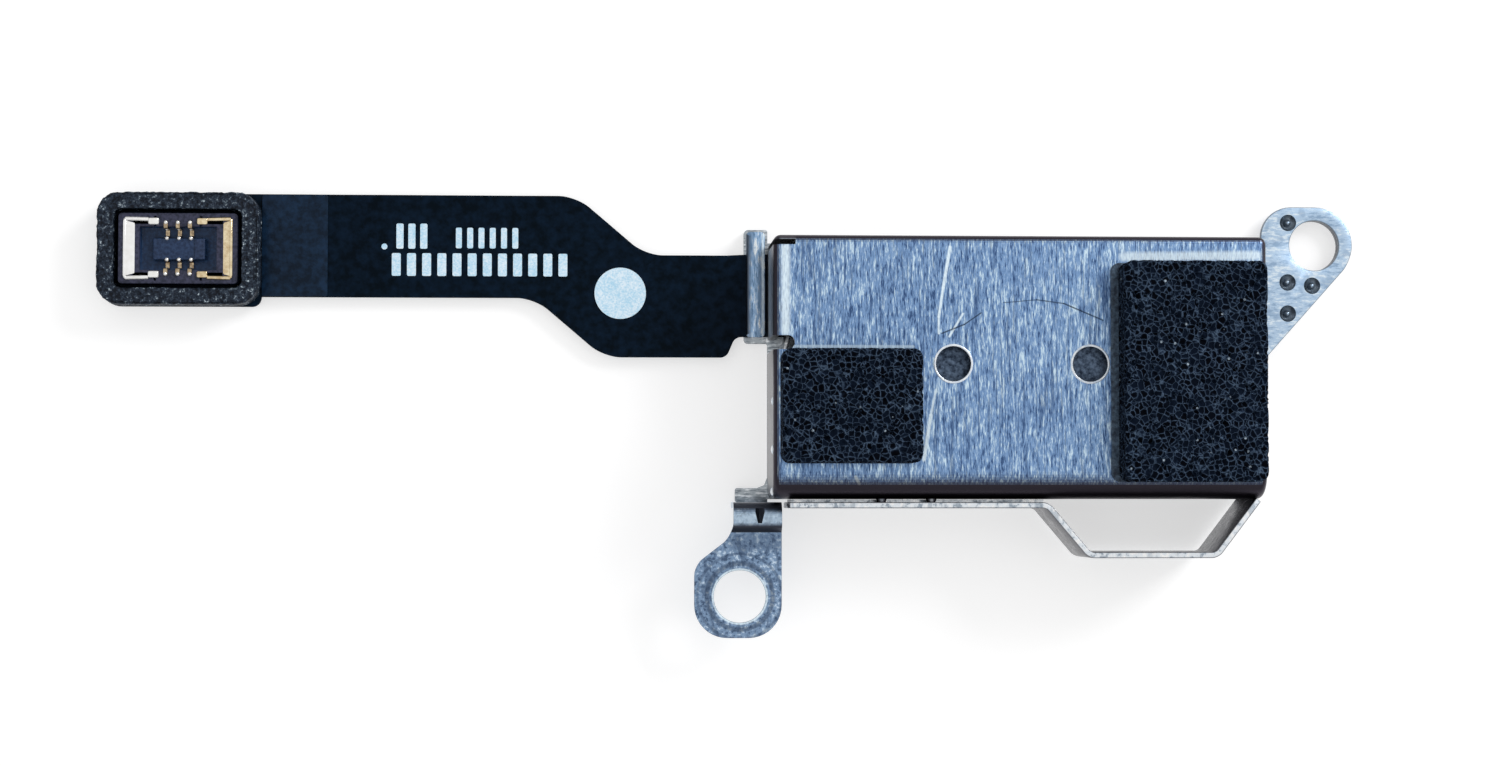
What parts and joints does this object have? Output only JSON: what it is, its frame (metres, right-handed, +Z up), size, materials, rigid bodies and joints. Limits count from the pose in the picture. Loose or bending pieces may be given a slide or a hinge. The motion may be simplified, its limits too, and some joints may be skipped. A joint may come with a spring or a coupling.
{
  "type": "linear vibration motor",
  "caption": "Flat rectangular vibration motor: sprung magnet mass over flat coils in a sheet steel can, with screw ears, foam pads and a flexible circuit tail ending in a board connector.",
  "frame": {"origin": "middle of the housing's underside, on the face that rests on the chassis", "axes": "+X along the housing away from the tail, +Y across it towards the corner ear, +Z up through the cover"},
  "size_m": [0.0426, 0.0149, 0.0049],
  "materials": {
    "cover_steel": "brushed across the short side, light scratches",
    "base_steel": "rolled stainless sheet, satin",
    "ear_steel": "rolled stainless sheet, satin, with resistance weld marks",
    "bracket_steel": "rolled stainless sheet, satin, bright sheared edges",
    "clamp_steel": "formed stainless strip, satin",
    "open_cell_foam": "charcoal open-cell polyurethane foam, matt",
    "adhesive_tape": "black double-sided tape",
    "flex_circuit": "black polyimide cover film, satin",
    "shield_foil": "blue-black shielding film, satin",
    "stiffener_board": "dark laminate",
    "socket_plastic": "black liquid crystal polymer, moulded",
    "gasket_foam": "dark closed-cell foam",
    "gold_contact": "gold plated",
    "silver_clip": "bright plated spring strip",
    "copper_wire": "enamelled copper winding",
    "solder_tin": "bright solder",
    "spring_steel": "fine blanked stainless spring strip",
    "stop_rubber": "moulded rubber",
    "tungsten_alloy": "sintered tungsten alloy, matt grey",
    "magnet_nickel": "nickel plated",
    "yoke_iron": "dark soft-iron sheet"
  },
  "bodies": {
    "housing": {"base_plate": "base_steel", "top_cover": "cover_steel", "corner_ear": "ear_steel", "flex_clamp": "clamp_steel", "side_hoop": "bracket_steel", "ear_bracket": "bracket_steel", "foam_pad_left": "open_cell_foam", "foam_pad_right": "open_cell_foam", "tape_left": "adhesive_tape", "tape_right": "adhesive_tape", "flex_root": "flex_circuit", "coil_left": "copper_wire", "coil_right": "copper_wire", "coil_solder": "solder_tin", "spring_left": "spring_steel", "spring_right": "spring_steel", "wall_clip_left": "spring_steel", "wall_clip_right": "spring_steel", "end_stop_left": "stop_rubber", "end_stop_right": "stop_rubber"},
    "moving_mass": {"mass_block": "tungsten_alloy", "yoke_plate": "yoke_iron", "mass_clip_left": "spring_steel", "mass_clip_right": "spring_steel", "magnet_left": "magnet_nickel", "magnet_centre": "magnet_nickel", "magnet_right": "magnet_nickel"},
    "flex_tail_end": {"flex_tail": "flex_circuit", "tail_stiffener": "stiffener_board", "shield_film": "shield_foil", "connector_gasket": "gasket_foam", "connector_socket": "socket_plastic", "signal_contacts": "gold_contact", "end_clip_left": "silver_clip", "end_clip_right": "silver_clip"}
  },
  "joints": [
    {"name": "mass_slide", "type": "slide", "parent": "housing", "child": "moving_mass", "axis": [1, 0, 0], "range_m": [-0.0006, 0.0006], "stiffness_N_per_m": 1100, "deforming": ["spring_left", "spring_right"]},
    {"name": "tail_bend", "type": "hinge", "parent": "housing", "child": "flex_tail_end", "pos_m": [-0.00925, 0, 0.00031], "axis": [0, 1, 0], "range_deg": [-20, 90], "stiffness_Nm_per_rad": 0.0008}
  ]
}
